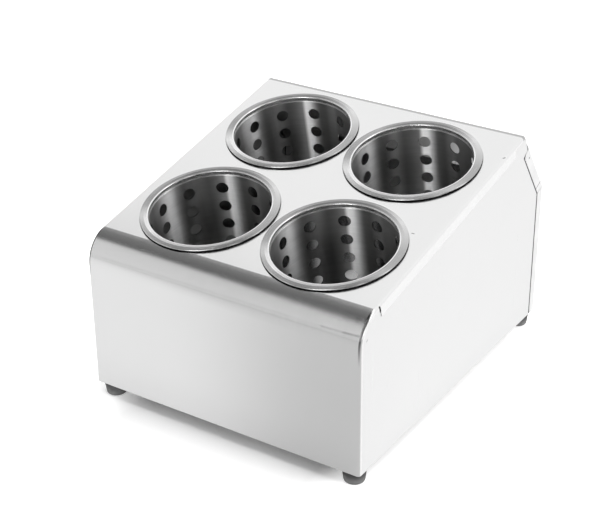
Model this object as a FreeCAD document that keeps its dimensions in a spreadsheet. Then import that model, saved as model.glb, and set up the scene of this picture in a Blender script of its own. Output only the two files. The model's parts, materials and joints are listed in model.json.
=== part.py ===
import FreeCAD, Part
import math
import os
import Sketcher
from FreeCAD import Vector

# Four-cylinder cutlery dispenser in brushed stainless sheet.
# Row frame: +Z up, +X to the right seen from the front, +Y towards the back.
# The origin is on the table, under the middle of the housing. Sizes are in millimetres and degrees.

DIMENSIONS = (
    ("width", 243, "housing, across the outer faces of the side panels"),
    ("depth", 290, "housing, front face to back face"),
    ("foot_height", 12, "table to the bottom edge of the sheet housing"),
    ("front_height", 125, "bottom edge to the sharp corner where front and top would meet"),
    ("slope_angle", 11.5, "rise of the top towards the back"),
    ("crown_depth", 249, "front face to the highest edge"),
    ("chamfer_angle", 55, "fall of the bevel behind the highest edge"),
    ("sheet", 1, "thickness of the housing sheet"),
    ("front_bend", 25, "outer radius of the bend between front and top"),
    ("corner_bend", 2.5, "outer radius of the tight bends"),
    ("crown_bend", 3, "outer radius of the bend at the highest edge"),
    ("rear_lip", 15, "length of the top's lip down the bevel"),
    ("side_lip", 10, "height of the top's lips down the sides"),
    ("side_lip_start", 26, "front corner to the lip, along the slope"),
    ("side_lip_end", 236, "front corner to the rear end of the lip, along the slope"),
    ("side_seam", 3, "distance of the welded seam from the outline elsewhere"),
    ("relief_slit", 0.8, "width of the bend relief in front of each lip"),
    ("rear_flange", 11, "width of the rear cover's side flanges"),
    ("rear_gap", 0.9, "open seam between side panel and rear cover"),
    ("flange_corner", 5, "corner radius at the upper ends of the rear flanges"),
    ("rear_curl", 6, "outer radius of the curl along the lower edge of the back"),
    ("mitre_gap", 0.4, "open mitre between the flanges of back and bevel"),
    ("joggle_overlap", 8, "how far the inner lip overlaps the sheet it is joined to"),
    ("joggle_reach", 8, "how far the inner lip reaches under the next sheet"),
    ("hole_radius", 51, "openings in the top"),
    ("column_pitch", 112, "canister spacing from left to right"),
    ("front_row", 72, "front corner to the first row of canisters, along the slope"),
    ("row_pitch", 117, "canister spacing along the slope"),
    ("rim_radius", 54.5, "outside of the canister's rim"),
    ("rim_mouth_radius", 47.9, "inner edge of the rim's flange"),
    ("rim_mouth", 1.9, "height of the flange's inner edge over the top"),
    ("rim_crest_radius", 51.2, "crest of the flange"),
    ("rim_crest", 2.2, "height of the crest"),
    ("rim_edge", 1.8, "height of the flange's outer edge"),
    ("rim_gap", 1.2, "open gap between the top and the flange's outer edge"),
    ("rim_seat_outer", 52.2, "outside of the narrow ring that the rim stands on"),
    ("rim_seat_inner", 51.2, "inside of that ring"),
    ("rim_round", 0.4, "rounding of the flange's edges"),
    ("neck_depth", 7.5, "length of the rim's neck below the top"),
    ("canister_sheet", 0.8, "thickness of the canister sheet"),
    ("tube_radius", 48.5, "outside of the canister's tube"),
    ("tube_top", 2.3, "depth of the tube's upper edge inside the neck"),
    ("canister_depth", 137, "top surface to the canister's floor"),
    ("dish_corner", 2.5, "corner radius of the canister's floor"),
    ("dish_height", 7, "height of the floor dish"),
    ("drain_radius", 5, "radius of every perforation"),
    ("drain_columns", 11, "perforations around the tube"),
    ("drain_first", 14, "depth of the first row"),
    ("drain_pitch", 17.5, "spacing of the rows"),
    ("floor_ring_inner", 18, "radius of the inner ring of floor holes"),
    ("floor_ring_outer", 35, "radius of the outer ring of floor holes"),
    ("foot_inset", 10.5, "foot centre from the outer faces of the housing"),
    ("foot_top_radius", 9.5, "foot where it meets the housing"),
    ("foot_base_radius", 8, "foot where it meets the table"),
    ("foot_round", 2, "rounding of the foot's lower edge"),
    ("foot_recess", 3.6, "table to the steel insert that the screw head bears on"),
    ("insert_sheet", 1, "thickness of the steel insert moulded into the foot"),
    ("insert_radius", 5.2, "steel insert"),
    ("screw_radius", 2, "M4 shank"),
    ("screw_play", 0.25, "radial play around the shank"),
    ("screw_head_radius", 4, "pan head"),
    ("screw_head", 2.5, "height of the head"),
    ("screw_length", 16, "shank below the head"),
    ("screw_cross", 2.4, "half width of the cross recess"),
    ("screw_cross_slot", 0.5, "half width of each slot of the cross"),
    ("washer_radius", 4.4, "M4 washer"),
    ("washer_sheet", 0.8, "washer thickness"),
    ("nut_across", 4.04, "M4 nut, centre to corner"),
    ("nut_height", 3.2, "nut thickness"),
    ("bracket_sheet", 1.5, "corner bracket thickness"),
    ("bracket_leg", 34, "length of the bracket's legs"),
    ("bracket_tab", 12, "height of the bracket's welded tabs"),
    ("bracket_corner", 3, "cut corner that clears the bend"),
)
DRAIN_ROWS = 7
FLOOR_RING_INNER_COUNT = 6
FLOOR_RING_OUTER_COUNT = 12
OVERRUN = 5  # how far the outline of a cut runs past the sheet

# Each canister stands in its hole at its own angle: the turn about its axis, in degrees.
CANISTERS = (
    ("front_left", -1, 0, -6.7),
    ("front_right", 1, 0, -8.9),
    ("back_left", -1, 1, 12),
    ("back_right", 1, 1, 18.5),
)
CORNERS = (
    ("front_left", -1, -1),
    ("front_right", 1, -1),
    ("back_left", -1, 1),
    ("back_right", 1, 1),
)
SIDES = (("left", -1), ("right", 1))

doc = FreeCAD.newDocument("cutlery_dispenser")
sizes = doc.addObject("Spreadsheet::Sheet", "Sizes")
subparts = []


def fill_sheet():
    for row, (alias, value, note) in enumerate(DIMENSIONS, start=1):
        sizes.set(f"A{row}", alias)
        sizes.set(f"B{row}", str(value))
        sizes.set(f"C{row}", note)
        sizes.setAlias(f"B{row}", alias)
    doc.recompute()


def number(expression):
    """The present value of an expression."""
    return float(sizes.evalExpression(expression))


# Expressions for the side outline of the housing, in its own plane: u is the row's Y and v its Z.

FRONT = "(-Sizes.depth / 2)"
BACK = "(Sizes.depth / 2)"
BOTTOM = "Sizes.foot_height"
PAST_BOTTOM = f"({BOTTOM} - {OVERRUN})"
CROWN = f"({FRONT} + Sizes.crown_depth)"
CORNER_V = "(Sizes.foot_height + Sizes.front_height)"
CROWN_V = f"({CORNER_V} + Sizes.crown_depth * tan(Sizes.slope_angle))"


def slope_v(u, inset):
    """Height of the line parallel to the top, inset below it, at u."""
    return f"({CORNER_V} + ({u} - {FRONT}) * tan(Sizes.slope_angle) - ({inset}) / cos(Sizes.slope_angle))"


def chamfer_v(u, inset):
    """Height of the line parallel to the bevel, inset inside it, at u."""
    return f"({CROWN_V} - ({u} - {CROWN}) * tan(Sizes.chamfer_angle) - ({inset}) / cos(Sizes.chamfer_angle))"


def on_slope(along, inset):
    """Point at a distance from the front corner along the top, inset below it."""
    u = f"({FRONT} + ({along}) * cos(Sizes.slope_angle) + ({inset}) * sin(Sizes.slope_angle))"
    v = f"({CORNER_V} + ({along}) * sin(Sizes.slope_angle) - ({inset}) * cos(Sizes.slope_angle))"
    return u, v


def on_chamfer(along, inset):
    """Point at a distance from the highest edge down the bevel, inset inside it."""
    u = f"({CROWN} + ({along}) * cos(Sizes.chamfer_angle) - ({inset}) * sin(Sizes.chamfer_angle))"
    v = f"({CROWN_V} - ({along}) * sin(Sizes.chamfer_angle) - ({inset}) * cos(Sizes.chamfer_angle))"
    return u, v


def crown_corner(slope_inset, chamfer_inset):
    """Where the inset line of the top meets the inset line of the bevel."""
    rise = "(tan(Sizes.slope_angle) + tan(Sizes.chamfer_angle))"
    shift = (f"(({slope_inset}) / cos(Sizes.slope_angle) - ({chamfer_inset}) / cos(Sizes.chamfer_angle))")
    u = f"({CROWN} + {shift} / {rise})"
    return u, slope_v(u, slope_inset)


# Drawing and modelling helpers.

def new_body(name, part_of_model=True):
    body = doc.addObject("PartDesign::Body", name)
    body.Label = name
    if part_of_model:
        subparts.append(body)
    return body


def origin_feature(body, role):
    return next(item for item in body.Origin.OriginFeatures if item.Role == role)


def new_sketch(body, name, role, lift=None):
    """Sketch on an origin plane of the body, lifted off it along the plane's normal."""
    sketch = body.newObject("Sketcher::SketchObject", name)
    sketch.AttachmentSupport = (origin_feature(body, role), [""])
    sketch.MapMode = "FlatFace"
    if lift is not None:
        sketch.setExpression("AttachmentOffset.Base.z", lift)
    return sketch


def bind(sketch, kind, geometry, vertex, expression):
    """Dimension from the sketch's origin to a vertex, driven by the sheet."""
    index = sketch.addConstraint(Sketcher.Constraint(kind, -1, 1, geometry, vertex, number(expression)))
    sketch.setExpression(f"Constraints[{index}]", expression)


def pin_vertex(sketch, geometry, vertex, u, v):
    bind(sketch, "DistanceX", geometry, vertex, u)
    bind(sketch, "DistanceY", geometry, vertex, v)


def corner_arc(before, corner, after, radius):
    """Start, middle and end of the arc that rounds a corner."""
    back = (before - corner).normalize()
    ahead = (after - corner).normalize()
    half = back.getAngle(ahead) / 2
    reach = radius / math.tan(half)
    outward = -(back + ahead).normalize()
    centre = corner - outward * (radius / math.sin(half))
    return corner + back * reach, centre + outward * radius, corner + ahead * reach


def add_outline(sketch, points):
    """Closed outline through points, each a pair of expressions.

    A third expression in a point is the radius of an arc that rounds this corner.
    """
    spots = [Vector(number(point[0]), number(point[1]), 0) for point in points]
    count = len(spots)
    arcs = {}
    for place, point in enumerate(points):
        if len(point) == 3:
            following = spots[(place + 1) % count]
            arcs[place] = corner_arc(spots[place - 1], spots[place], following, number(point[2]))
    lines = []
    for place in range(count):
        following = (place + 1) % count
        start = arcs[place][2] if place in arcs else spots[place]
        end = arcs[following][0] if following in arcs else spots[following]
        lines.append(sketch.addGeometry(Part.LineSegment(start, end)))
    for place, point in enumerate(points):
        incoming, outgoing = lines[place - 1], lines[place]
        if place not in arcs:
            sketch.addConstraint(Sketcher.Constraint("Coincident", incoming, 2, outgoing, 1))
            pin_vertex(sketch, outgoing, 1, point[0], point[1])
            continue
        begin, middle, end = arcs[place]
        turns_left = (middle - begin).cross(end - begin).z > 0
        # A sketch keeps every arc anticlockwise, so a right turn runs from its end to its start.
        first, last = (1, 2) if turns_left else (2, 1)
        arc = sketch.addGeometry(Part.Arc(begin, middle, end) if turns_left else Part.Arc(end, middle, begin))
        sharp = sketch.addGeometry(Part.Point(spots[place]), True)
        pin_vertex(sketch, sharp, 1, point[0], point[1])
        sketch.addConstraint(Sketcher.Constraint("PointOnObject", sharp, 1, incoming))
        sketch.addConstraint(Sketcher.Constraint("PointOnObject", sharp, 1, outgoing))
        sketch.addConstraint(Sketcher.Constraint("Tangent", incoming, 2, arc, first))
        sketch.addConstraint(Sketcher.Constraint("Tangent", arc, last, outgoing, 1))
        size = sketch.addConstraint(Sketcher.Constraint("Radius", arc, number(point[2])))
        sketch.setExpression(f"Constraints[{size}]", point[2])


def add_circle(sketch, u, v, radius):
    centre = Vector(number(u), number(v), 0)
    index = sketch.addGeometry(Part.Circle(centre, Vector(0, 0, 1), number(radius)))
    pin_vertex(sketch, index, 3, u, v)
    size = sketch.addConstraint(Sketcher.Constraint("Radius", index, number(radius)))
    sketch.setExpression(f"Constraints[{size}]", radius)


def outline_sketch(body, name, role, points, lift=None):
    sketch = new_sketch(body, name, role, lift)
    add_outline(sketch, points)
    return sketch


def pad(body, name, sketch, length, midplane=False, reverse=False):
    feature = body.newObject("PartDesign::Pad", name)
    feature.Profile = sketch
    feature.setExpression("Length", length)
    feature.SideType = "Symmetric" if midplane else "One side"
    feature.Reversed = reverse
    doc.recompute()
    return feature


def pocket(body, name, sketch, length, midplane=False, reverse=False):
    """Cut, and prove by the volume that the cut went into the solid."""
    before = body.Shape.Volume
    feature = body.newObject("PartDesign::Pocket", name)
    feature.Profile = sketch
    feature.setExpression("Length", length)
    feature.SideType = "Symmetric" if midplane else "One side"
    feature.Reversed = reverse
    doc.recompute()
    if body.Shape.Volume > before - 0.01:
        raise RuntimeError(f"{name} cuts nothing")
    return feature


def revolve(body, name, sketch):
    feature = body.newObject("PartDesign::Revolution", name)
    feature.Profile = sketch
    feature.ReferenceAxis = (sketch, ["V_Axis"])
    feature.Angle = 360
    doc.recompute()
    return feature


def round_edges(body, name, base, keep, radius):
    """Fillet every edge of the base whose middle point passes the test."""
    names = []
    for index, edge in enumerate(base.Shape.Edges, start=1):
        middle = edge.valueAt((edge.FirstParameter + edge.LastParameter) / 2)
        if keep(edge, middle):
            names.append(f"Edge{index}")
    if not names:
        raise RuntimeError(f"{name} finds no edge")
    feature = body.newObject("PartDesign::Fillet", name)
    feature.Base = (base, names)
    feature.setExpression("Radius", radius)
    doc.recompute()
    return feature


def near(one, other, tolerance=0.05):
    return abs(one - other) < tolerance


def ring_edge(radius, height):
    """Test for the circular edge of a turned piece at a radius and a height, both expressions."""
    def keep(edge, middle):
        is_ring = hasattr(edge.Curve, "Radius") and near(edge.Curve.Radius, number(radius))
        return is_ring and near(middle.z, number(height))
    return keep


def polar(body, name, original, count):
    feature = body.newObject("PartDesign::PolarPattern", name)
    feature.Originals = [original]
    feature.Axis = (origin_feature(body, "Z_Axis"), [""])
    feature.Angle = 360
    if isinstance(count, str):
        feature.setExpression("Occurrences", count)
    else:
        feature.Occurrences = count
    body.Tip = feature
    doc.recompute()
    return feature


# Housing.

def front_top_cover():
    """One sheet: the front, the large bend, the sloping top with four holes, and its lips."""
    body = new_body("front_top_cover")
    lip_end_u, lip_end_v = on_chamfer("Sizes.rear_lip", "Sizes.sheet + Sizes.corner_bend")
    wedge = outline_sketch(body, "cover_outline", "YZ_Plane", (
        (FRONT, BOTTOM),
        (FRONT, CORNER_V),
        (CROWN, CROWN_V),
        on_chamfer("Sizes.rear_lip", "0"),
        (lip_end_u, lip_end_v),
        (lip_end_u, BOTTOM),
    ))
    pad(body, "cover_block", wedge, "Sizes.width", midplane=True)

    half = number("Sizes.width / 2")
    skin = number("Sizes.sheet")
    crown = number(CROWN)

    def runs_across(u, v):
        def keep(edge, middle):
            return near(middle.x, 0) and near(middle.y, number(u)) and near(middle.z, number(v))
        return keep

    def runs_along(wall):
        def keep(edge, middle):
            on_wall = near(abs(middle.x), wall) and abs(edge.tangentAt(edge.FirstParameter).x) < 0.01
            profile = near(middle.y, number(FRONT) + half - wall) or middle.z > rim_line(middle.y)
            return on_wall and profile and middle.y < crown - OVERRUN
        return keep

    def rim_line(u):
        """Just under the sheet of the bend and the top, at u."""
        slope = number("tan(Sizes.slope_angle)")
        return number(CORNER_V) + (u - number(FRONT)) * slope - 9

    # The inner roundings come first: they fill the corners that the outer ones then cut back.
    inner_front = f"({FRONT} + Sizes.sheet)"
    inner_corner = (inner_front, slope_v(inner_front, "Sizes.sheet"))
    inner_crown = crown_corner("Sizes.sheet", "Sizes.sheet")
    past_lip = on_chamfer(f"Sizes.rear_lip + {OVERRUN}", "Sizes.sheet")
    inside = outline_sketch(body, "cover_inside", "YZ_Plane", (
        (inner_front, PAST_BOTTOM),
        inner_corner,
        inner_crown,
        past_lip,
        (past_lip[0], PAST_BOTTOM),
    ))
    step = pocket(body, "cover_cavity", inside, "Sizes.width - 2 * Sizes.sheet", midplane=True)
    roundings = (
        ("front_bend_inside", runs_across(*inner_corner), "Sizes.front_bend - Sizes.sheet"),
        ("crown_bend_inside", runs_across(*inner_crown), "Sizes.crown_bend - Sizes.sheet"),
        ("side_bends_inside", runs_along(half - skin), "Sizes.corner_bend - Sizes.sheet"),
        ("front_bend", runs_across(FRONT, CORNER_V), "Sizes.front_bend"),
        ("crown_bend", runs_across(CROWN, CROWN_V), "Sizes.crown_bend"),
        ("side_bends", runs_along(half), "Sizes.corner_bend"),
    )
    for name, keep, radius in roundings:
        step = round_edges(body, name, step, keep, radius)

    # The side walls are cut away inside the seams, which leaves the two lips.
    seam = "Sizes.side_seam"
    deep = "Sizes.side_lip"
    seam_u = f"({FRONT} + {seam})"
    opening = new_sketch(body, "side_opening", "YZ_Plane")
    add_outline(opening, (
        (seam_u, PAST_BOTTOM),
        (seam_u, slope_v(seam_u, seam), f"Sizes.front_bend - {seam}"),
        on_slope("Sizes.side_lip_start", seam),
        on_slope("Sizes.side_lip_start", deep),
        on_slope("Sizes.side_lip_end", deep),
        on_slope("Sizes.side_lip_end", seam),
        crown_corner(seam, "Sizes.sheet"),
        past_lip,
        (past_lip[0], PAST_BOTTOM),
    ))
    pocket(body, "side_openings", opening, "Sizes.width * 2", midplane=True)

    holes = body.newObject("Sketcher::SketchObject", "canister_holes")
    holes.AttachmentSupport = (origin_feature(body, "XY_Plane"), [""])
    holes.MapMode = "FlatFace"
    holes.setExpression("AttachmentOffset.Base.y", FRONT)
    holes.setExpression("AttachmentOffset.Base.z", CORNER_V)
    holes.setExpression("AttachmentOffset.Rotation.Angle", "Sizes.slope_angle")
    holes.AttachmentOffset = FreeCAD.Placement(
        Vector(0, number(FRONT), number(CORNER_V)),
        FreeCAD.Rotation(Vector(1, 0, 0), number("Sizes.slope_angle")))
    for column in (-1, 1):
        for row in (0, 1):
            add_circle(holes, f"{column} * Sizes.column_pitch / 2",
                       f"Sizes.front_row + {row} * Sizes.row_pitch", "Sizes.hole_radius")
    pocket(body, "canister_openings", holes, "Sizes.sheet * 6", midplane=True)


def side_panel(side, sign):
    """Flat side sheet with a stepped-in lip behind the rear cover's flange."""
    body = new_body(f"{side}_side_panel")
    seam = "Sizes.side_seam"
    deep = "Sizes.side_lip"
    rear = "(Sizes.rear_flange + Sizes.rear_gap)"
    under_lip = "(Sizes.sheet + Sizes.rear_gap + 0.3)"
    inner_face = "(Sizes.width / 2 - Sizes.sheet)" if sign > 0 else "(-Sizes.width / 2)"
    corner_u = f"({FRONT} + {seam})"
    slit_end = "(Sizes.side_lip_start - Sizes.relief_slit)"
    turn_u = f"({BACK} - {rear})"
    sheet = outline_sketch(body, f"{side}_panel_outline", "YZ_Plane", (
        (corner_u, BOTTOM),
        (corner_u, slope_v(corner_u, seam), f"Sizes.front_bend - {seam}"),
        on_slope(slit_end, seam),
        on_slope(slit_end, deep),
        on_slope("Sizes.side_lip_end", deep),
        on_slope("Sizes.side_lip_end", seam),
        crown_corner(seam, under_lip),
        on_chamfer("Sizes.rear_lip", under_lip),
        on_chamfer("Sizes.rear_lip", rear),
        (turn_u, chamfer_v(turn_u, rear)),
        (turn_u, BOTTOM),
    ), inner_face)
    pad(body, f"{side}_panel_sheet", sheet, "Sizes.sheet")

    # The lip lies one sheet further in, under the side panel and the rear cover's flange.
    front_edge = f"({rear} + Sizes.joggle_overlap)"
    rear_edge = "(Sizes.rear_flange - Sizes.joggle_reach)"
    lip_bottom = f"({BOTTOM} + Sizes.bracket_tab + 4)"
    lip_top = "(Sizes.rear_lip + Sizes.flange_corner)"
    step = "(Sizes.width / 2 - 2 * Sizes.sheet)" if sign > 0 else "(-Sizes.width / 2 + Sizes.sheet)"
    lip = outline_sketch(body, f"{side}_joggle_outline", "YZ_Plane", (
        (f"({BACK} - {front_edge})", lip_bottom),
        (f"({BACK} - {front_edge})", chamfer_v(f"({BACK} - {front_edge})", front_edge)),
        on_chamfer(lip_top, front_edge),
        on_chamfer(lip_top, rear_edge),
        (f"({BACK} - {rear_edge})", chamfer_v(f"({BACK} - {rear_edge})", rear_edge)),
        (f"({BACK} - {rear_edge})", lip_bottom),
    ), step)
    pad(body, f"{side}_joggle", lip, "Sizes.sheet")


def rear_cover():
    """Back and bevel in one sheet, with flanges folded forward along both sides."""
    body = new_body("rear_cover")
    wide = "Sizes.rear_flange"
    start = "(Sizes.rear_lip + 0.6)"
    fold_v = chamfer_v(BACK, "0")
    inner_u = f"({BACK} - {wide})"
    band = outline_sketch(body, "rear_outline", "YZ_Plane", (
        (BACK, BOTTOM),
        (BACK, fold_v),
        on_chamfer(start, "0"),
        on_chamfer(start, wide),
        (inner_u, chamfer_v(inner_u, wide)),
        (inner_u, BOTTOM),
    ))
    pad(body, "rear_block", band, "Sizes.width", midplane=True)

    half = number("Sizes.width / 2")
    back = number(BACK)
    chamfer_tan = number("tan(Sizes.chamfer_angle)")

    def depth_inside(middle):
        bevel = (number(CROWN_V) - middle.z) / chamfer_tan + number(CROWN)
        return min(back, bevel) - middle.y

    def is_side_edge(edge, middle):
        return near(abs(middle.x), half) and near(depth_inside(middle), 0)

    inner_back = f"({BACK} - Sizes.sheet)"
    front_of_band = f"({BACK} - 3 * {wide})"
    curl_end = f"({BACK} - Sizes.rear_curl - Sizes.sheet)"
    inside = outline_sketch(body, "rear_inside", "YZ_Plane", (
        (curl_end, PAST_BOTTOM),
        (curl_end, f"({BOTTOM} + Sizes.sheet)"),
        (inner_back, f"({BOTTOM} + Sizes.sheet)", "Sizes.rear_curl - Sizes.sheet"),
        (inner_back, chamfer_v(inner_back, "Sizes.sheet")),
        on_chamfer(f"{start} - {OVERRUN}", "Sizes.sheet"),
        on_chamfer(f"{start} - {OVERRUN}", f"{wide} * 3"),
        (front_of_band, PAST_BOTTOM),
    ))
    cavity = pocket(body, "rear_cavity", inside, "Sizes.width - 2 * Sizes.sheet", midplane=True)
    skin = number("Sizes.sheet")

    def is_inner_corner(edge, middle):
        return near(abs(middle.x), half - skin) and near(depth_inside(middle), skin, 0.8)

    inner = round_edges(body, "rear_side_bends_inside", cavity, is_inner_corner,
                        "Sizes.corner_bend - Sizes.sheet")
    sheet = round_edges(body, "rear_side_bends", inner, is_side_edge, "Sizes.corner_bend")

    def is_flange_end(edge, middle):
        top_u, top_v = on_chamfer(start, wide)
        upper = near(middle.y, number(top_u)) and near(middle.z, number(top_v))
        return upper and near(abs(middle.x), half - number("Sizes.sheet / 2"), 0.3)

    round_edges(body, "flange_corners", sheet, is_flange_end, "Sizes.flange_corner")

    curl_top = f"({BOTTOM} + Sizes.rear_curl + Sizes.sheet)"
    past_back = f"({BACK} + {OVERRUN})"
    curl = outline_sketch(body, "curl_outline", "YZ_Plane", (
        (curl_end, PAST_BOTTOM),
        (curl_end, BOTTOM),
        (BACK, BOTTOM, "Sizes.rear_curl"),
        (BACK, curl_top),
        (past_back, curl_top),
        (past_back, PAST_BOTTOM),
    ))
    pocket(body, "lower_curl", curl, "Sizes.width * 2", midplane=True)

    # The flanges of back and bevel meet in an open mitre.
    fall = "tan(45 - Sizes.chamfer_angle / 2)"
    bend = "(Sizes.corner_bend + Sizes.sheet / 2)"
    near_u = f"({BACK} - {bend})"
    near_v = f"({fold_v} - {bend} * {fall})"
    far_u = f"({BACK} - 2 * {wide})"
    far_v = f"({fold_v} - 2 * {wide} * {fall})"
    half_gap = "Sizes.mitre_gap / 2"
    mitre = outline_sketch(body, "mitre_outline", "YZ_Plane", (
        (near_u, f"{near_v} - {half_gap}"),
        (near_u, f"{near_v} + {half_gap}"),
        (far_u, f"{far_v} + {half_gap}"),
        (far_u, f"{far_v} - {half_gap}"),
    ))
    pocket(body, "mitre_slits", mitre, "Sizes.width * 2", midplane=True)

    # A stepped-in lip carries on under the rear lip of the top.
    lip = outline_sketch(body, "tuck_outline", "YZ_Plane", (
        on_chamfer(f"{start} + Sizes.joggle_overlap", "Sizes.sheet"),
        on_chamfer(f"{start} + Sizes.joggle_overlap", "2 * Sizes.sheet"),
        on_chamfer(f"{start} - Sizes.joggle_reach", "2 * Sizes.sheet"),
        on_chamfer(f"{start} - Sizes.joggle_reach", "Sizes.sheet"),
    ))
    pad(body, "tuck_lip", lip, "Sizes.width - 2 * Sizes.rear_flange", midplane=True)


# Feet and their fastenings.

def corner_placement(piece, across, along):
    piece.setExpression("Placement.Base.x", f"{across} * (Sizes.width / 2 - Sizes.foot_inset)")
    piece.setExpression("Placement.Base.y", f"{along} * (Sizes.depth / 2 - Sizes.foot_inset)")


def foot_bracket(corner, across, along):
    """Gusset plate welded into the corner, with upright tabs and a hole for the foot's screw.

    At the back the plate stops in front of the rear cover's curl, and only the side tab is there.
    """
    body = new_body(f"{corner}_foot_bracket")
    rear = along > 0
    start = "Sizes.rear_curl + 0.1" if rear else "0"

    def u(distance):
        return f"({across} * (Sizes.width / 2 - Sizes.sheet - ({distance})))"

    def v(distance):
        return f"({along} * (Sizes.depth / 2 - Sizes.sheet - ({distance})))"

    cut = "Sizes.bracket_corner"
    leg = "Sizes.bracket_leg"
    thick = "Sizes.bracket_sheet"
    v_start = v(start)
    v_cut = v(f"{start} + {cut}")
    plate = outline_sketch(body, f"{corner}_plate_outline", "XY_Plane", (
        (u(cut), v_start),
        (u(leg), v_start),
        (u(leg), v_cut),
        (u(cut), v(leg)),
        (u("0"), v(leg)),
        (u("0"), v_cut),
    ), BOTTOM)
    pad(body, f"{corner}_plate", plate, thick)
    tabs = new_sketch(body, f"{corner}_tab_outlines", "XY_Plane", BOTTOM)
    add_outline(tabs, ((u("0"), v_cut), (u("0"), v(leg)), (u(thick), v(leg)), (u(thick), v_cut)))
    if not rear:
        add_outline(tabs, ((u(cut), v("0")), (u(leg), v("0")), (u(leg), v(thick)), (u(cut), v(thick))))
    pad(body, f"{corner}_tabs", tabs, "Sizes.bracket_tab")
    hole = new_sketch(body, f"{corner}_screw_hole", "XY_Plane", BOTTOM)
    add_circle(hole, u("Sizes.foot_inset - Sizes.sheet"), v("Sizes.foot_inset - Sizes.sheet"),
               "Sizes.screw_radius + Sizes.screw_play")
    pocket(body, f"{corner}_screw_opening", hole, f"{thick} * 2", midplane=True)


def foot(corner, across, along):
    """Tapered rubber foot with a recess that hides the screw's head."""
    body = new_body(f"{corner}_foot")
    bore = "(Sizes.screw_radius + Sizes.screw_play)"
    ceiling = "Sizes.foot_recess + Sizes.insert_sheet"
    section = outline_sketch(body, f"{corner}_foot_section", "XZ_Plane", (
        ("Sizes.insert_radius", "0"),
        ("Sizes.foot_base_radius", "0"),
        ("Sizes.foot_top_radius", "Sizes.foot_height"),
        (bore, "Sizes.foot_height"),
        (bore, ceiling),
        ("Sizes.insert_radius", ceiling),
    ))
    turned = revolve(body, f"{corner}_foot_body", section)
    lower = round_edges(body, f"{corner}_foot_lower_edge", turned,
                        ring_edge("Sizes.foot_base_radius", "0"), "Sizes.foot_round")
    round_edges(body, f"{corner}_foot_upper_edge", lower,
                ring_edge("Sizes.foot_top_radius", "Sizes.foot_height"), "Sizes.foot_round / 4")
    corner_placement(body, across, along)


def ring_body(name, outer, inner, bottom, thickness, across, along):
    """Flat ring on the screw's axis under one corner."""
    body = new_body(name, part_of_model=False)
    ring = new_sketch(body, f"{name}_outline", "XY_Plane", bottom)
    add_circle(ring, "0", "0", outer)
    add_circle(ring, "0", "0", inner)
    pad(body, f"{name}_ring", ring, thickness)
    corner_placement(body, across, along)
    return body


def foot_insert(corner, across, along):
    """Steel washer moulded into the foot, above the screw's head."""
    return ring_body(f"{corner}_insert", "Sizes.insert_radius", "Sizes.screw_radius + Sizes.screw_play",
                     "Sizes.foot_recess", "Sizes.insert_sheet", across, along)


def foot_screw(corner, across, along):
    """Pan-head screw, head down in the foot's recess, with a cross recess."""
    body = new_body(f"{corner}_screw", part_of_model=False)
    seat = "Sizes.foot_recess"
    section = outline_sketch(body, f"{corner}_screw_section", "XZ_Plane", (
        ("0", f"{seat} - Sizes.screw_head"),
        ("Sizes.screw_head_radius", f"{seat} - Sizes.screw_head"),
        ("Sizes.screw_head_radius", seat),
        ("Sizes.screw_radius", seat),
        ("Sizes.screw_radius", f"{seat} + Sizes.screw_length"),
        ("0", f"{seat} + Sizes.screw_length"),
    ))
    turned = revolve(body, f"{corner}_screw_body", section)
    round_edges(body, f"{corner}_screw_head_round", turned,
                ring_edge("Sizes.screw_head_radius", f"{seat} - Sizes.screw_head"),
                "Sizes.screw_head * 0.6")
    long_side = "Sizes.screw_cross"
    slot = "Sizes.screw_cross_slot"
    cross = outline_sketch(body, f"{corner}_cross_outline", "XY_Plane", (
        (f"-{long_side}", f"-{slot}"), (f"-{slot}", f"-{slot}"), (f"-{slot}", f"-{long_side}"),
        (slot, f"-{long_side}"), (slot, f"-{slot}"), (long_side, f"-{slot}"),
        (long_side, slot), (slot, slot), (slot, long_side),
        (f"-{slot}", long_side), (f"-{slot}", slot), (f"-{long_side}", slot),
    ), f"{seat} - Sizes.screw_head")
    pocket(body, f"{corner}_cross_recess", cross, "Sizes.screw_head", midplane=True)
    corner_placement(body, across, along)
    return body


def foot_washer(corner, across, along):
    """Flat washer on top of the bracket."""
    return ring_body(f"{corner}_washer", "Sizes.washer_radius", "Sizes.screw_radius + Sizes.screw_play",
                     f"{BOTTOM} + Sizes.bracket_sheet", "Sizes.washer_sheet", across, along)


def foot_nut(corner, across, along):
    """Hexagon nut that clamps foot and bracket together."""
    body = new_body(f"{corner}_nut", part_of_model=False)
    base = f"{BOTTOM} + Sizes.bracket_sheet + Sizes.washer_sheet"
    hexagon = new_sketch(body, f"{corner}_nut_outline", "XY_Plane", base)
    add_outline(hexagon, [
        (f"Sizes.nut_across * cos({60 * side})", f"Sizes.nut_across * sin({60 * side})")
        for side in range(6)])
    add_circle(hexagon, "0", "0", "Sizes.screw_radius")
    pad(body, f"{corner}_nut_body", hexagon, "Sizes.nut_height")
    corner_placement(body, across, along)
    return body


def fastener_group(label, make):
    """The same fastener under every corner, kept together as separate solids."""
    group = doc.addObject("Part::Compound", label)
    group.Label = label
    group.Links = [make(corner, across, along) for corner, across, along in CORNERS]
    subparts.append(group)


# Canisters, each in its own frame: origin at the hole's centre on the top, +Z out of the hole.

def place_canister(body, column, row, turn):
    along = f"(Sizes.front_row + {row} * Sizes.row_pitch)"
    body.setExpression("Placement", (
        f"placement(vector({column} * Sizes.column_pitch / 2; "
        f"{FRONT} + {along} * cos(Sizes.slope_angle); "
        f"{CORNER_V} + {along} * sin(Sizes.slope_angle)); "
        f"rotation(vector(1; 0; 0); Sizes.slope_angle) * rotation(vector(0; 0; 1); {turn}))"))


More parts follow.
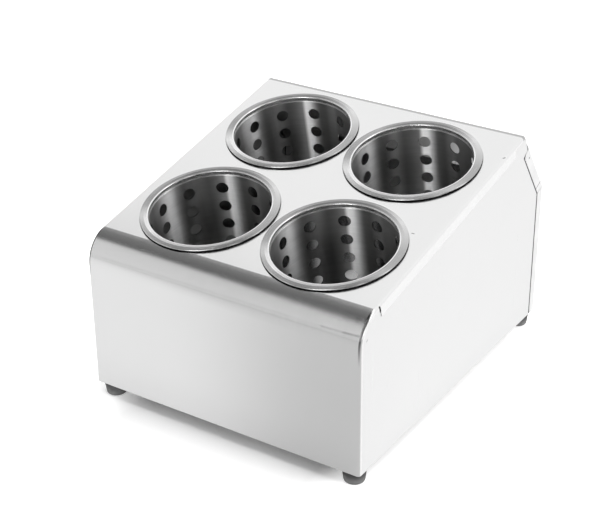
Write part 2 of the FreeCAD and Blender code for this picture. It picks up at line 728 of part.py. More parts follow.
def canister_rim(name, column, row, turn):
    """Pressed ring: a flange raised on a narrow foot ring, and a neck through the hole."""
    body = new_body(f"{name}_canister_rim")
    neck_inside = "Sizes.tube_radius"
    neck_outside = "(Sizes.tube_radius + Sizes.canister_sheet)"
    skin = "Sizes.canister_sheet"
    section = outline_sketch(body, f"{name}_rim_section", "XZ_Plane", (
        (neck_inside, "-Sizes.neck_depth"),
        (neck_inside, f"Sizes.rim_mouth - {skin}"),
        ("Sizes.rim_mouth_radius", f"Sizes.rim_mouth - {skin}"),
        ("Sizes.rim_mouth_radius", "Sizes.rim_mouth"),
        ("Sizes.rim_crest_radius", "Sizes.rim_crest"),
        ("Sizes.rim_radius", "Sizes.rim_edge"),
        ("Sizes.rim_radius", "Sizes.rim_gap"),
        ("Sizes.rim_seat_outer", "Sizes.rim_gap"),
        ("Sizes.rim_seat_outer", "0"),
        ("Sizes.rim_seat_inner", "0"),
        (neck_outside, f"Sizes.rim_mouth - 2 * {skin}"),
        (neck_outside, "-Sizes.neck_depth"),
    ))
    turned = revolve(body, f"{name}_rim_body", section)
    mouth = round_edges(body, f"{name}_rim_mouth_edge", turned,
                        ring_edge("Sizes.rim_mouth_radius", "Sizes.rim_mouth"), "Sizes.rim_round")
    round_edges(body, f"{name}_rim_outer_edge", mouth,
                ring_edge("Sizes.rim_radius", "Sizes.rim_edge"), "Sizes.rim_round")
    place_canister(body, column, row, turn)


def canister_tube(name, column, row, turn):
    """Rolled tube with rows of round perforations, welded inside the rim's neck."""
    body = new_body(f"{name}_canister_tube")
    inside = "(Sizes.tube_radius - Sizes.canister_sheet)"
    lower_edge = "(-Sizes.canister_depth + Sizes.dish_corner)"
    rings = new_sketch(body, f"{name}_tube_outline", "XY_Plane", lower_edge)
    add_circle(rings, "0", "0", "Sizes.tube_radius")
    add_circle(rings, "0", "0", inside)
    pad(body, f"{name}_tube_wall", rings, f"-Sizes.tube_top - {lower_edge}")
    column_of_holes = new_sketch(body, f"{name}_hole_column", "XZ_Plane")
    for level in range(DRAIN_ROWS):
        add_circle(column_of_holes, "0", f"-Sizes.drain_first - {level} * Sizes.drain_pitch",
                   "Sizes.drain_radius")
    first = pocket(body, f"{name}_first_column", column_of_holes, "Sizes.tube_radius + 2")
    polar(body, f"{name}_perforations", first, "Sizes.drain_columns")
    place_canister(body, column, row, turn)


def canister_base(name, column, row, turn):
    """Pressed dish that closes the tube, with drain holes."""
    body = new_body(f"{name}_canister_base")
    outside = "(Sizes.tube_radius - Sizes.canister_sheet)"
    inside = "(Sizes.tube_radius - 2 * Sizes.canister_sheet)"
    under = "(-Sizes.canister_depth)"
    above = "(-Sizes.canister_depth + Sizes.canister_sheet)"
    edge = "(-Sizes.canister_depth + Sizes.dish_height)"
    section = outline_sketch(body, f"{name}_dish_section", "XZ_Plane", (
        ("0", under), (outside, under), (outside, edge), (inside, edge), (inside, above), ("0", above)))
    turned = revolve(body, f"{name}_dish", section)
    outer = round_edges(body, f"{name}_dish_outer_corner", turned, ring_edge(outside, under),
                        "Sizes.dish_corner")
    round_edges(body, f"{name}_dish_inner_corner", outer, ring_edge(inside, above),
                "Sizes.dish_corner - Sizes.canister_sheet")
    rings = (
        ("middle", "0", 1),
        ("inner", "Sizes.floor_ring_inner", FLOOR_RING_INNER_COUNT),
        ("outer", "Sizes.floor_ring_outer", FLOOR_RING_OUTER_COUNT),
    )
    for ring, radius, count in rings:
        hole = new_sketch(body, f"{name}_{ring}_hole", "XY_Plane", under)
        add_circle(hole, radius, "0", "Sizes.drain_radius")
        cut = pocket(body, f"{name}_{ring}_opening", hole, "Sizes.canister_sheet * 4", midplane=True)
        if count > 1:
            polar(body, f"{name}_{ring}_holes", cut, count)
    place_canister(body, column, row, turn)


def check_document():
    """Stop unless every object is sound and every sub-part is a valid solid."""
    for item in doc.Objects:
        if "Invalid" in item.State or "Error" in item.State:
            raise RuntimeError(f"{item.Name}: {item.State}")
    for piece in subparts:
        shape = piece.Shape
        if shape.isNull() or not shape.isValid() or not shape.Solids:
            raise RuntimeError(f"{piece.Label} is not a valid solid")


def export_parts():
    os.makedirs("parts", exist_ok=True)
    for piece in subparts:
        piece.Shape.exportStep(f"parts/{piece.Label}.step")


fill_sheet()
front_top_cover()
for side_name, side_sign in SIDES:
    side_panel(side_name, side_sign)
rear_cover()
for place in CORNERS:
    foot_bracket(*place)
    foot(*place)
fastener_group("foot_inserts", foot_insert)
fastener_group("foot_screws", foot_screw)
fastener_group("foot_washers", foot_washer)
fastener_group("foot_nuts", foot_nut)
for place in CANISTERS:
    canister_rim(*place)
    canister_tube(*place)
    canister_base(*place)
doc.recompute()
check_document()
export_parts()
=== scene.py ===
import json
import math

import bpy
from mathutils import Matrix, Vector


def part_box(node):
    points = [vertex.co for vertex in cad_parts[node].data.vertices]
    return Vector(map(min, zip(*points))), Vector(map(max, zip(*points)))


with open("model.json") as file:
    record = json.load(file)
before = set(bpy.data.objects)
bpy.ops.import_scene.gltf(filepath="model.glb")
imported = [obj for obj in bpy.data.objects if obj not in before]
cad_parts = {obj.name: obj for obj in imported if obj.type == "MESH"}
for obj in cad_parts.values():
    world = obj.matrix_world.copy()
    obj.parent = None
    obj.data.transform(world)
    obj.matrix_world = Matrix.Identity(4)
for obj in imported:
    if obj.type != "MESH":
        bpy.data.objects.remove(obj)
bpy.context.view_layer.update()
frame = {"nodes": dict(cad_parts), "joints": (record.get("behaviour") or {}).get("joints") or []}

# Places and lengths are metres in the row frame, unless a comment says millimetres. Directions
# round an axis are degrees from +X towards +Y. A name for a pair of numbers stands for the two
# places where a mask or level starts and ends its change, or for the levels before and after it.

CORNERS = ("front_left", "front_right", "back_left", "back_right")
MM = 0.001


# Node helpers.

class Nodes:
    """Short calls for building a node tree."""

    def __init__(self, tree):
        self.tree = tree
        tree.nodes.clear()

    def add(self, kind, **settings):
        node = self.tree.nodes.new(kind)
        for name, value in settings.items():
            setattr(node, name, value)
        return node

    def put(self, value, socket):
        """Link a socket, or write a number, colour or vector on it."""
        if isinstance(value, bpy.types.NodeSocket):
            self.tree.links.new(value, socket)
        elif value is not None:
            socket.default_value = value

    def math(self, operation, one, two=None, clamp=False):
        node = self.add("ShaderNodeMath", operation=operation, use_clamp=clamp)
        self.put(one, node.inputs[0])
        self.put(two, node.inputs[1])
        return node.outputs[0]

    def vector(self, operation, one, two=None, scale=None):
        node = self.add("ShaderNodeVectorMath", operation=operation)
        self.put(one, node.inputs[0])
        if scale is None:
            self.put(two, node.inputs[1])
        else:
            self.put(scale, node.inputs["Scale"])
        is_number = operation in ("DOT_PRODUCT", "LENGTH", "DISTANCE")
        return node.outputs["Value" if is_number else "Vector"]

    def split(self, vector):
        node = self.add("ShaderNodeSeparateXYZ")
        self.put(vector, node.inputs[0])
        return [node.outputs[axis] for axis in "XYZ"]

    def combine(self, *values):
        node = self.add("ShaderNodeCombineXYZ")
        for place, value in enumerate(values):
            self.put(value, node.inputs[place])
        return node.outputs[0]

    def ramp(self, value, from_low, from_high, to_low=0.0, to_high=1.0, smooth=True):
        kind = "SMOOTHSTEP" if smooth else "LINEAR"
        node = self.add("ShaderNodeMapRange", interpolation_type=kind)
        for place, item in enumerate((value, from_low, from_high, to_low, to_high)):
            self.put(item, node.inputs[place])
        return node.outputs["Result"]

    def blend(self, factor, one, two):
        """Number that goes evenly from one to two while the factor goes from 0 to 1."""
        return self.ramp(factor, 0.0, 1.0, one, two, smooth=False)

    def compass(self, vector, stops):
        """Level by direction round Z: stops are directions and levels, joined by lines."""
        across, along, up = self.split(vector)
        turn = self.math("ARCTAN2", along, across)
        node = self.add("ShaderNodeValToRGB")
        self.put(self.ramp(turn, -math.pi, math.pi, smooth=False), node.inputs[0])
        elements = node.color_ramp.elements
        elements.remove(elements[-1])
        top = max(level for angle, level in stops)
        for number, (angle, level) in enumerate(stops):
            place = (angle + 180) / 360
            element = elements[0] if number == 0 else elements.new(place)
            element.position = place
            element.color = grey(level / top)
        return self.math("MULTIPLY", node.outputs["Color"], top)

    def noise(self, vector, scale, detail=2.0, roughness=0.5):
        node = self.add("ShaderNodeTexNoise")
        self.put(vector, node.inputs["Vector"])
        self.put(scale, node.inputs["Scale"])
        self.put(detail, node.inputs["Detail"])
        self.put(roughness, node.inputs["Roughness"])
        return node.outputs["Fac"]

    def mix(self, factor, one, two):
        node = self.add("ShaderNodeMix", data_type="RGBA")
        self.put(factor, node.inputs["Factor"])
        self.put(one, node.inputs["A"])
        self.put(two, node.inputs["B"])
        return node.outputs["Result"]

    def bump(self, height, strength, distance):
        node = self.add("ShaderNodeBump")
        self.put(strength, node.inputs["Strength"])
        self.put(distance, node.inputs["Distance"])
        self.put(height, node.inputs["Height"])
        return node.outputs["Normal"]


def grey(level):
    return (level, level, level, 1.0)


def new_material(name):
    material = bpy.data.materials.new(name)
    material.use_nodes = True
    nodes = Nodes(material.node_tree)
    shader = nodes.add("ShaderNodeBsdfPrincipled")
    output = nodes.add("ShaderNodeOutputMaterial")
    nodes.put(shader.outputs["BSDF"], output.inputs["Surface"])
    return material, nodes, shader


def dress(names, material):
    for name in names:
        slots = frame["nodes"][name].material_slots
        for slot in slots:
            slot.link = "OBJECT"
            slot.material = material
        if not slots:
            frame["nodes"][name].data.materials.append(material)


def strongest(nodes, masks):
    result = masks[0]
    for mask in masks[1:]:
        result = nodes.math("MAXIMUM", result, mask)
    return result


def span(nodes, value, low, high, soft):
    """Mask of the values between low and high."""
    return nodes.math("MULTIPLY", nodes.ramp(value, low - soft, low),
                      nodes.ramp(value, high, high + soft, 1.0, 0.0))


# Steel. Each finish is a colour, a roughness and an anisotropy.

COVER_FINISH = (0.86, 0.19, 0.9)
REAR_FINISH = (0.83, 0.30, 0.9)
SIDE_FINISH = (0.83, 0.30, 0.9)
BRACKET_FINISH = (0.62, 0.38, 0.3)
TUBE_FINISH = (0.50, 0.40, 1.0)
BASE_FINISH = (0.60, 0.36, 0.5)
RIM_FINISH = (0.80, 0.26, 0.9)
# Darker colour of the tubes' outer face: painted shade inside the housing, seen through the holes.
OUTSIDE_SHADE_COLOUR = 0.32
POLISHED_ROUGHNESS = 0.24
MARK_COLOUR = 0.06

# How far strokes and patches show in the colour.
WEAR = 0.03
COVER_WEAR = 0.05
TUBE_WEAR = 0.30
COLOUR_SPREAD = 0.25
ROUGHNESS_SPREAD = 0.12
STROKE_DETAIL = 3.0
STROKE_ROUGHNESS = 0.62
STROKE_BUMP = (0.08, 0.0002)
PATCH_SCALE = 22.0
PATCH_DETAIL = 3.0

# Scale of the strokes' pattern across and along them, and along them on turned metal.
STROKE_SCALE = 900.0
TUBE_STROKE_SCALE = 520.0
ALONG_SCALE = 14.0
TURNED_ALONG_SCALE = 2.2


def steel(name, finish, grain, wear=WEAR, marks=None, polish_and_shade=None, gain=None):
    """Brushed steel. grain is two functions of (nodes, point): the coordinates of the strokes'
    pattern, and the direction across the strokes. marks is a mask of dark lines, some of them
    painted shade; the polish mask is smoother metal whose colour is painted darker as shade; and
    gain a level that the colour is multiplied by, which on the canisters carries painted light and
    shade."""
    colour, roughness, anisotropy = finish
    pattern, direction = grain
    material, nodes, shader = new_material(name)
    point = nodes.add("ShaderNodeTexCoord").outputs["Object"]
    strokes = nodes.noise(pattern(nodes, point), 1.0, STROKE_DETAIL, STROKE_ROUGHNESS)
    patches = nodes.noise(point, PATCH_SCALE, PATCH_DETAIL)

    def swing(value, size):
        return nodes.math("MULTIPLY", nodes.math("SUBTRACT", value, 0.5), size)

    shade = nodes.math("ADD", swing(strokes, wear * 2), swing(patches, wear))
    bright = nodes.mix(nodes.math("ADD", shade, 0.5, clamp=True),
                       grey(colour * (1 - COLOUR_SPREAD)),
                       grey(min(colour * (1 + COLOUR_SPREAD), 1.0)))
    rough = nodes.math("ADD", swing(strokes, ROUGHNESS_SPREAD), roughness)
    if gain is not None:
        bright = nodes.vector("SCALE", bright, scale=gain(nodes, point))
    # The polish mask also paints the colour darker, as shade.
    if polish_and_shade is not None:
        bright = nodes.mix(polish_and_shade(nodes, point), bright, grey(OUTSIDE_SHADE_COLOUR))
        rough = nodes.ramp(polish_and_shade(nodes, point), 0.0, 1.0, rough, POLISHED_ROUGHNESS)
    if marks is not None:
        bright = nodes.mix(marks(nodes, point), bright, grey(MARK_COLOUR))
    nodes.put(bright, shader.inputs["Base Color"])
    nodes.put(1.0, shader.inputs["Metallic"])
    nodes.put(rough, shader.inputs["Roughness"])
    nodes.put(anisotropy, shader.inputs["Anisotropic"])
    nodes.put(direction(nodes, point), shader.inputs["Tangent"])
    nodes.put(nodes.bump(strokes, *STROKE_BUMP), shader.inputs["Normal"])
    return material


def straight_grain(along, across):
    """Strokes that run along some axes; across is the axis that crosses them."""
    stretch = [ALONG_SCALE if axis in along else STROKE_SCALE for axis in range(3)]
    crossing = [1.0 if axis == across else 0.0 for axis in range(3)]

    def pattern(nodes, point):
        return nodes.vector("MULTIPLY", point, stretch)

    def direction(nodes, point):
        return nodes.combine(*crossing)

    return pattern, direction


def split_turned(nodes, point, centre, axis):
    """Height along an axis, and the offset square to it."""
    offset = nodes.vector("SUBTRACT", point, tuple(centre))
    height = nodes.vector("DOT_PRODUCT", offset, tuple(axis))
    drop = nodes.vector("SCALE", tuple(axis), scale=height)
    return height, nodes.vector("SUBTRACT", offset, drop)


def turned_grain(centre, axis, radial, scale=STROKE_SCALE):
    """Strokes in circles round an axis, crossed outwards if radial, and else along the axis."""
    def pattern(nodes, point):
        height, outward = split_turned(nodes, point, centre, axis)
        reach = nodes.vector("LENGTH", outward)
        rings = nodes.combine(nodes.math("MULTIPLY", reach, scale), 0.0,
                              nodes.math("MULTIPLY", height, scale))
        turn = nodes.vector("NORMALIZE", outward)
        return nodes.vector("ADD", rings, nodes.vector("SCALE", turn, scale=TURNED_ALONG_SCALE))

    def direction(nodes, point):
        if radial:
            return nodes.vector("NORMALIZE", split_turned(nodes, point, centre, axis)[1])
        return nodes.combine(*axis)

    return pattern, direction


# Thin dark lines on the sheets, some of them painted shade in a slit or seam: start and end in
# millimetres, width in millimetres, and strength.
COVER_LINES = (
    ((-110, -143.4, 125.3), (90, -142.9, 126.5), 1.4, 0.03),
    ((88, -142.9, 126.5), (108, -142.8, 126.8), 1.8, 0.16),
    ((106, -142.8, 126.8), (119.5, -142.4, 127.4), 1.8, 0.32),
    ((119.2, 69.6, 180.6), (120.6, 71.6, 181.0), 0.9, 0.8),
    ((101.3, -40.4, 158.3), (103.3, -40.4, 158.3), 0.8, 0.8),
    # Painted shade in the relief slit near the front top corner of the side.
    ((121.2, -120.2, 140.2), (121.3, -119.2, 137.0), 2.2, 1.0),
)
SIDE_LINES = (
    ((121.5, -137.6, 121.6), (121.5, -136.4, 122.7), 0.8, 0.6),
    # Painted shade in the relief slit near the front top corner of the side.
    ((121.3, -120.2, 140.2), (121.3, -119.2, 137.0), 2.2, 1.0),
    ((121.5, 106.4, 182.0), (121.5, 109.4, 173.6), 1.3, 0.8),
)
REAR_LINES = (
    # Painted shade in the seam between the side panel and the rear cover, up its back and along its
    # slope.
    ((121.3, 134.0, 13.0), (121.3, 134.0, 125.6), 2.0, 0.9),
    ((121.3, 134.0, 125.6), (121.3, 106.8, 164.5), 1.2, 0.7),
    ((121.5, 113.6, 164.8), (121.5, 114.0, 164.8), 1.6, 0.8),
    ((121.5, 128.6, 129.6), (121.5, 139.4, 134.8), 0.9, 0.8),
)
LINE_EDGE = (0.3, 0.6)  # where a line fades out, in widths from its middle


def stroke(nodes, point, start, end, width, strength):
    """Mask of a thin line between two points."""
    start = Vector(start) * MM
    run = Vector(end) * MM - start
    offset = nodes.vector("SUBTRACT", point, tuple(start))
    along = nodes.math("DIVIDE", nodes.vector("DOT_PRODUCT", offset, tuple(run)),
                       run.length_squared, clamp=True)
    gap = nodes.vector("DISTANCE", offset, nodes.vector("SCALE", tuple(run), scale=along))
    solid, clear = (width * MM * edge for edge in LINE_EDGE)
    return nodes.ramp(gap, solid, clear, strength, 0.0)


def lines(places):
    def marks(nodes, point):
        return strongest(nodes, [stroke(nodes, point, *place) for place in places])
    return marks


# Housing.

# Painted dark reflection down the ends of the front bend, where it rounds into the sides.
CORNER_REFLECTION_ACROSS = (0.1193, 0.1204)
CORNER_REFLECTION_ACROSS_SOFT = 0.0004
CORNER_REFLECTION_ALONG = (-0.20, -0.1300)
CORNER_REFLECTION_ALONG_SOFT = 0.005
CORNER_REFLECTION_UP = (0.102, 0.126)
CORNER_REFLECTION_STRENGTH = 0.85
# Shade on the top's back edge.
BACK_EDGE_ALONG = (0.0996, 0.1010)
BACK_EDGE_UP = (0.180, 0.183)
BACK_EDGE_STRENGTH = 0.45
# Shaded ring on the top under each rim's edge.
RING_REACH = (0.0523, 0.0547)
RING_SOFT = 0.0003
RING_STRENGTH = 0.5
# The lips down the cover's sides are a little darker than the rest of it.
LIP_ACROSS = (0.1209, 0.1213)
LIP_LEVEL = 0.97
# Shade on the side panels' inner face, darker on the lip behind the open seams.
INSIDE_ACROSS = (0.1206, 0.1209)
INSIDE_ALONG = (0.095, 0.100)
INSIDE_STRENGTH = (0.7, 0.9)


def canister_axis(name):
    """A point on the canister's axis, and its direction."""
    axes = {joint["child"]: Vector(joint["axis"]).normalized() for joint in frame["joints"]}
    low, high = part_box(f"{name}_canister_tube")
    return (low + high) / 2, axes[f"{name}_canister"]


def cover_marks(nodes, point):
    across, along, up = nodes.split(point)
    # Painted dark reflection on the rounding at each end of the front bend.
    corner_reflection = nodes.math("MULTIPLY",
                      span(nodes, nodes.math("ABSOLUTE", across), *CORNER_REFLECTION_ACROSS, CORNER_REFLECTION_ACROSS_SOFT),
                      span(nodes, along, *CORNER_REFLECTION_ALONG, CORNER_REFLECTION_ALONG_SOFT))
    corner_reflection = nodes.math("MULTIPLY", corner_reflection, nodes.ramp(up, *CORNER_REFLECTION_UP, 0.0, CORNER_REFLECTION_STRENGTH))
    back = nodes.math("MULTIPLY", nodes.ramp(along, *BACK_EDGE_ALONG),
                      nodes.ramp(up, *BACK_EDGE_UP, 0.0, BACK_EDGE_STRENGTH))
    masks = [lines(COVER_LINES)(nodes, point), corner_reflection, back]
    for name in CORNERS:
        outward = split_turned(nodes, point, *canister_axis(name))[1]
        ring = span(nodes, nodes.vector("LENGTH", outward), *RING_REACH, RING_SOFT)
        masks.append(nodes.math("MULTIPLY", ring, RING_STRENGTH))
    return strongest(nodes, masks)


def cover_gain(nodes, point):
    across = nodes.math("ABSOLUTE", nodes.split(point)[0])
    return nodes.ramp(across, *LIP_ACROSS, 1.0, LIP_LEVEL)


def side_marks(nodes, point):
    across, along, up = nodes.split(point)
    inside = nodes.math("MULTIPLY",
                        nodes.ramp(nodes.math("ABSOLUTE", across), *INSIDE_ACROSS, 1.0, 0.0),
                        nodes.ramp(along, *INSIDE_ALONG, *INSIDE_STRENGTH))
    return strongest(nodes, [lines(SIDE_LINES)(nodes, point), inside])


def dress_housing():
    grain = straight_grain(along=(1, 2), across=0)
    dress(("front_top_cover",), steel("cover_steel", COVER_FINISH, grain, COVER_WEAR,
                                      marks=cover_marks, gain=cover_gain))
    dress(("rear_cover",), steel("rear_steel", REAR_FINISH, grain, marks=lines(REAR_LINES)))
    grain = straight_grain(along=(2,), across=1)
    dress(("left_side_panel", "right_side_panel"),
          steel("side_steel", SIDE_FINISH, grain, marks=side_marks))
    dress([f"{corner}_foot_bracket" for corner in CORNERS],
          steel("bracket_steel", BRACKET_FINISH, grain))
    dress([f"{corner}_foot" for corner in CORNERS], rubber("foot_rubber"))
    dress(("foot_inserts", "foot_screws", "foot_washers", "foot_nuts"), plated("fastener_steel"))


# Feet and fasteners.

RUBBER_COLOUR = 0.02
DUST_AND_LIGHT_COLOUR = 0.20
DUST_SCALE = 190.0
DUST_DETAIL = 3.0
DUST_SPOTS = (0.45, 0.8)
DUST_STRENGTH = 0.4
# The feet are painted paler towards the table: painted light low down, painted shade up under the
# housing.
PAINTED_LIGHT_UP = (0.010, 0.002)
PAINTED_LIGHT_STRENGTH = 0.8
PORE_SCALE = 2600.0
PORE_DETAIL = 4.0
PORE_ROUGHNESS = 0.7
PORE_BUMP = (0.25, 0.0003)
RUBBER_ROUGHNESS = (0.5, 0.72)

PLATED_COLOURS = ((0.50, 0.50, 0.47, 1.0), (0.66, 0.66, 0.63, 1.0))
CLOUD_SCALE = 700.0
CLOUD_DETAIL = 4.0
CLOUD_ROUGHNESS = 0.65
CLOUD_BUMP = (0.1, 0.0002)
PLATED_ROUGHNESS = (0.24, 0.4)

NOISE_REACH = (0.3, 0.7)  # the part of a noise's range that pores and clouds use


def rubber(name):
    """Pored rubber with spots of dust, and painted paler towards the table as painted light,
    leaving the top darker as painted shade under the housing.
    """
    material, nodes, shader = new_material(name)
    point = nodes.add("ShaderNodeTexCoord").outputs["Object"]
    pores = nodes.noise(point, PORE_SCALE, PORE_DETAIL, PORE_ROUGHNESS)
    dust = nodes.noise(point, DUST_SCALE, DUST_DETAIL)
    painted_light = nodes.ramp(nodes.split(point)[2], *PAINTED_LIGHT_UP, 0.0, PAINTED_LIGHT_STRENGTH)
    dust_and_light = nodes.math("ADD", nodes.ramp(dust, *DUST_SPOTS, 0.0, DUST_STRENGTH), painted_light)
    nodes.put(nodes.mix(dust_and_light, grey(RUBBER_COLOUR), grey(DUST_AND_LIGHT_COLOUR)), shader.inputs["Base Color"])
    nodes.put(nodes.ramp(pores, *NOISE_REACH, *RUBBER_ROUGHNESS), shader.inputs["Roughness"])
    nodes.put(nodes.bump(pores, *PORE_BUMP), shader.inputs["Normal"])
    return material


def plated(name):
    """Plated steel, clouded in colour and roughness."""
    material, nodes, shader = new_material(name)
    point = nodes.add("ShaderNodeTexCoord").outputs["Object"]
    cloud = nodes.noise(point, CLOUD_SCALE, CLOUD_DETAIL, CLOUD_ROUGHNESS)
    nodes.put(nodes.mix(cloud, *PLATED_COLOURS), shader.inputs["Base Color"])
    nodes.put(1.0, shader.inputs["Metallic"])
    nodes.put(nodes.ramp(cloud, *NOISE_REACH, *PLATED_ROUGHNESS), shader.inputs["Roughness"])
    nodes.put(nodes.bump(cloud, *CLOUD_BUMP), shader.inputs["Normal"])
    return material


# Canisters.

# Painted reflection streaks inside the tubes, and painted light and shade round the rims: direction
# round the axis, and level.
TUBE_PAINTED_STREAKS = (
    (-180, 1.7), (-172, 0.8), (-162, 0.5), (60, 0.5), (72, 0.55), (77, 0.8), (83, 0.7), (88, 0.5),
    (95, 0.55), (100, 1.2), (105, 1.9), (110.5, 1.9), (113.5, 0.55), (129, 0.45), (136, 0.7),
    (139, 0.65), (145, 0.45), (154, 0.55), (168, 1.6), (176, 1.9), (180, 1.7),
)
RIM_PAINTED_LIGHT = (
    (-180, 0.48), (-170, 0.42), (-160, 0.49), (-150, 0.76), (-140, 1.04), (-120, 1.18),
    (-110, 0.98), (-90, 0.86), (-60, 0.82), (-40, 0.73), (-20, 0.58), (-10, 0.52), (10, 0.54),
    (30, 0.75), (50, 0.96), (60, 0.85), (80, 0.57), (90, 0.48), (140, 0.50), (150, 0.58),
    (160, 0.52), (180, 0.48),
)
# The rims have a painted highlight on their inner edge, and painted shade under their outer edge.
RIM_INNER_EDGE = (0.0486, 0.0492)
RIM_INNER_HIGHLIGHT = 1.2
RIM_UNDER_REACH = (0.0515, 0.0518)
TOP_OVER_TUBE = 0.0684  # the housing's top above the middle of each tube, along its axis
RIM_UNDER_UP = (TOP_OVER_TUBE + 0.0011, TOP_OVER_TUBE + 0.0013)
# The tubes are smoother on their outer face, and painted darker there as shade inside the housing,
# seen through the holes.
TUBE_OUTSIDE_REACH = (0.0479, 0.0484)


def dress_canister(name):
    centre, axis = canister_axis(name)

    def turned(nodes, point):
        height, outward = split_turned(nodes, point, centre, axis)
        return height, outward, nodes.vector("LENGTH", outward)

    def tube_outside(nodes, point):
        height, outward, reach = turned(nodes, point)
        return nodes.ramp(reach, *TUBE_OUTSIDE_REACH)

    # Painted reflection streaks, by direction round the axis.
    def tube_painted_streaks(nodes, point):
        height, outward, reach = turned(nodes, point)
        return nodes.compass(outward, TUBE_PAINTED_STREAKS)

    # Painted light and shade round the rim, and a painted highlight on its inner edge.
    def rim_painted_light(nodes, point):
        height, outward, reach = turned(nodes, point)
        return nodes.ramp(reach, *RIM_INNER_EDGE, RIM_INNER_HIGHLIGHT,
                          nodes.compass(outward, RIM_PAINTED_LIGHT))

    # Painted shade under the rim's outer edge.
    def rim_under_shade(nodes, point):
        height, outward, reach = turned(nodes, point)
        return nodes.math("MULTIPLY", nodes.ramp(height, *RIM_UNDER_UP, 1.0, 0.0),
                          nodes.ramp(reach, *RIM_UNDER_REACH))

    grain = turned_grain(centre, axis, radial=False, scale=TUBE_STROKE_SCALE)
    dress((f"{name}_canister_tube",), steel(f"{name}_tube_steel", TUBE_FINISH, grain, TUBE_WEAR,
                                            polish_and_shade=tube_outside, gain=tube_painted_streaks))
    grain = turned_grain(centre, axis, radial=True)
    dress((f"{name}_canister_base",), steel(f"{name}_base_steel", BASE_FINISH, grain))
    dress((f"{name}_canister_rim",), steel(f"{name}_rim_steel", RIM_FINISH, grain,
                                           marks=rim_under_shade, gain=rim_painted_light))


# World: soft light all round, brighter to the right in front. Its places are those of a
# direction's tip on a sphere of radius 1.
SOFT_LIGHT_X = (-0.65, 0.65)
SOFT_LIGHT_LEFT = 1.02
SOFT_LIGHT_BACK = (0.20, 0.45)
SOFT_LIGHT_RIGHT = (1.55, 1.06)
# A dark gap overhead and in front. Its back edge is tilted, and ends on the left.
GAP_BACK = (0.606, 0.628)
GAP_BACK_TILT = -0.36
GAP_LEFT_END = (-0.40, -0.20)
GAP_RIGHT_STEP = 0.113
GAP_LOW = (0.12, 0.36)
GAP_ZENITH = (0.955, 0.985)
ZENITH_LEVEL = 0.10
# What stands in the gap: direction, and level.
GAP_VIEW = (
    (-180, 0.17), (-150, 0.12), (-130, 0.09), (-104, 0.06), (-97, 4.0), (-81, 4.0), (-78.5, 0.04),
    (-37, 0.04), (-33, 1.2), (-23, 1.2), (-18, 0.04), (4, 0.04), (14, 2.4), (60, 2.4), (130, 0.26),
    (150, 0.20), (180, 0.17),
)
# Low light in front, on the left, which the front bend shows below its dark band.
FRONT_LIGHT_X = (-0.34, -0.24)
FRONT_LIGHT_Y = (-1.085, -1.045)
FRONT_LIGHT_TILT = 1.25
FRONT_LIGHT_FADE = (-0.58, -0.45)
FRONT_LIGHT_LEVEL = (0.78, 0.43)


def make_world():
    world = bpy.data.worlds.new("studio")
    bpy.context.scene.world = world
    world.use_nodes = True
    nodes = Nodes(world.node_tree)
    heading = nodes.add("ShaderNodeTexCoord").outputs["Generated"]
    across, along, up = nodes.split(heading)

    def tilted(tilt, across_end=1.0):
        """Y plus some of X, as far as an X."""
        side = nodes.math("MINIMUM", across, across_end)
        return nodes.math("ADD", along, nodes.math("MULTIPLY", side, tilt))

    soft_right = nodes.ramp(along, *SOFT_LIGHT_BACK, *SOFT_LIGHT_RIGHT)
    soft = nodes.ramp(across, *SOFT_LIGHT_X, SOFT_LIGHT_LEFT, soft_right)
    view = nodes.ramp(up, *GAP_ZENITH, nodes.compass(heading, GAP_VIEW), ZENITH_LEVEL)
    edge = nodes.math("ADD", tilted(GAP_BACK_TILT, GAP_LEFT_END[0]),
                      nodes.ramp(across, *GAP_LEFT_END, 0.0, GAP_RIGHT_STEP))
    gap = nodes.math("MULTIPLY", nodes.ramp(edge, *GAP_BACK, 1.0, 0.0), nodes.ramp(up, *GAP_LOW))
    front = nodes.math("MULTIPLY", nodes.ramp(across, *FRONT_LIGHT_X, 1.0, 0.0),
                       nodes.ramp(tilted(FRONT_LIGHT_TILT), *FRONT_LIGHT_Y, 1.0, 0.0))
    front_light = nodes.ramp(across, *FRONT_LIGHT_FADE, *FRONT_LIGHT_LEVEL)
    light = nodes.add("ShaderNodeBackground")
    nodes.put(nodes.blend(front, nodes.blend(gap, soft, view), front_light), light.inputs["Color"])
    seen = nodes.add("ShaderNodeBackground")
    nodes.put(grey(1.0), seen.inputs["Color"])
    pick = nodes.add("ShaderNodeMixShader")
    nodes.put(nodes.add("ShaderNodeLightPath").outputs["Is Camera Ray"], pick.inputs[0])
    nodes.put(light.outputs[0], pick.inputs[1])
    nodes.put(seen.outputs[0], pick.inputs[2])
    output = nodes.add("ShaderNodeOutputWorld")
    nodes.put(pick.outputs[0], output.inputs["Surface"])


# Floor.

FLOOR_SIZE = 16.0
FLOOR_COLOUR = 0.92
FLOOR_COLOUR_IN_STEEL = 0.20
FLOOR_ROUGHNESS = 0.9
# In steel it glows, less to the right in front of the housing, where the light falls off.
GLOW = 0.86
FALLOFF = 0.52
FALLOFF_ACROSS = (0.807, -0.590, 0.0)
FALLOFF_REACH = (0.04, 0.20)
FALLOFF_LEFT = 0.42
FALLOFF_START = (-0.135, -0.150)
# In steel its painted glow is faint under the housing, as painted shadow, but for a painted light
# patch towards the back right.
UNDER_X = (0.112, 0.130)
UNDER_Y = (0.136, 0.154)
UNDER_GLOW = 0.03
UNDER_PATCH_X = (-0.005, 0.015)
UNDER_PATCH_Y = (-0.008, 0.0)
UNDER_PATCH_GLOW = 1.4
# The camera sees a painted glow on it beside the housing, more so on the right, which lightens the
# shadow there.
BESIDE_X = (0.080, 0.114)
UNDER_LIFT = 0.02
BESIDE_LIFT = (0.36, 0.62)


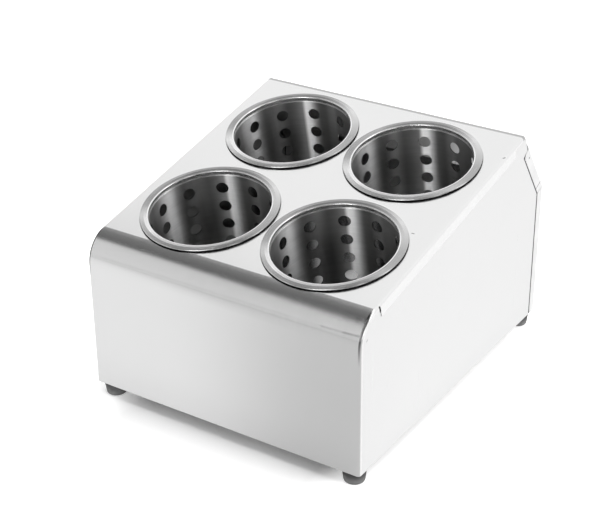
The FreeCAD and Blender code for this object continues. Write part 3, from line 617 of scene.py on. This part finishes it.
def make_floor():
    mesh = bpy.data.meshes.new("floor")
    half = FLOOR_SIZE / 2
    mesh.from_pydata([(-half, -half, 0), (half, -half, 0), (half, half, 0), (-half, half, 0)], [],
                     [(0, 1, 2, 3)])
    floor = bpy.data.objects.new("floor", mesh)
    bpy.context.scene.collection.objects.link(floor)
    material, nodes, shader = new_material("floor_white")
    path = nodes.add("ShaderNodeLightPath")
    in_steel = path.outputs["Is Glossy Ray"]
    nodes.put(nodes.mix(in_steel, grey(FLOOR_COLOUR), grey(FLOOR_COLOUR_IN_STEEL)),
              shader.inputs["Base Color"])
    nodes.put(FLOOR_ROUGHNESS, shader.inputs["Roughness"])
    nodes.put(0.0, shader.inputs["Specular IOR Level"])
    place = nodes.add("ShaderNodeTexCoord").outputs["Object"]
    across, along, up = nodes.split(place)
    across_size = nodes.math("ABSOLUTE", across)
    along_size = nodes.math("ABSOLUTE", along)

    right = nodes.ramp(nodes.vector("DOT_PRODUCT", place, FALLOFF_ACROSS), *FALLOFF_REACH,
                       FALLOFF_LEFT, 1.0)
    front = nodes.ramp(along, *FALLOFF_START)
    open_glow = nodes.ramp(nodes.math("MULTIPLY", right, front), 0.0, 1.0, GLOW, GLOW - FALLOFF)
    patch_glow = nodes.math("MULTIPLY", nodes.ramp(across, *UNDER_PATCH_X),
                            nodes.ramp(along, *UNDER_PATCH_Y, UNDER_GLOW, UNDER_PATCH_GLOW))
    outside = nodes.math("MAXIMUM", nodes.ramp(across_size, *UNDER_X),
                         nodes.ramp(along_size, *UNDER_Y))
    glow = nodes.ramp(outside, 0.0, 1.0, patch_glow, open_glow)

    beside = nodes.ramp(across, -BESIDE_X[0], BESIDE_X[0], *BESIDE_LIFT)
    lift = nodes.ramp(across_size, *BESIDE_X, UNDER_LIFT, beside)
    nodes.put(grey(1.0), shader.inputs["Emission Color"])
    nodes.put(nodes.math("ADD", nodes.math("MULTIPLY", path.outputs["Is Camera Ray"], lift),
                         nodes.math("MULTIPLY", in_steel, glow)),
              shader.inputs["Emission Strength"])
    mesh.materials.append(material)


# Lamp and camera.

LAMP_PLACE = (0.45, 0.0, 2.1)
LAMP_TARGET = (0.0, 0.0, 0.1)
LAMP_SIZE = 1.6
LAMP_POWER = 40
CAMERA_PLACE = (0.575624, -0.910191, 0.658844)
# Degrees about Z, about X and about the line of sight.
CAMERA_TURN = 33.34
CAMERA_TILT = 62.03
CAMERA_ROLL = -0.53
# Millimetres.
CAMERA_LENS = 91.02
CAMERA_SENSOR = 36.0


def make_lamp():
    light = bpy.data.lights.new("key_light", "AREA")
    light.shape = "DISK"
    light.size = LAMP_SIZE
    light.energy = LAMP_POWER
    lamp = bpy.data.objects.new("key_light", light)
    bpy.context.scene.collection.objects.link(lamp)
    aim = (Vector(LAMP_TARGET) - Vector(LAMP_PLACE)).to_track_quat("-Z", "Y")
    lamp.matrix_world = Matrix.Translation(LAMP_PLACE) @ aim.to_matrix().to_4x4()
    lamp.visible_glossy = False


def make_camera():
    camera = bpy.data.objects.new("camera", bpy.data.cameras.new("camera"))
    bpy.context.scene.collection.objects.link(camera)
    camera.data.sensor_width = CAMERA_SENSOR
    camera.data.lens = CAMERA_LENS
    turn = Matrix.Rotation(math.radians(CAMERA_TURN), 4, "Z")
    tilt = Matrix.Rotation(math.radians(CAMERA_TILT), 4, "X")
    roll = Matrix.Rotation(math.radians(CAMERA_ROLL), 4, "Z")
    camera.matrix_world = Matrix.Translation(CAMERA_PLACE) @ turn @ tilt @ roll
    bpy.context.scene.camera = camera


dress_housing()
for corner in CORNERS:
    dress_canister(corner)
make_world()
make_floor()
make_lamp()
make_camera()
bpy.context.scene.view_settings.view_transform = "Standard"
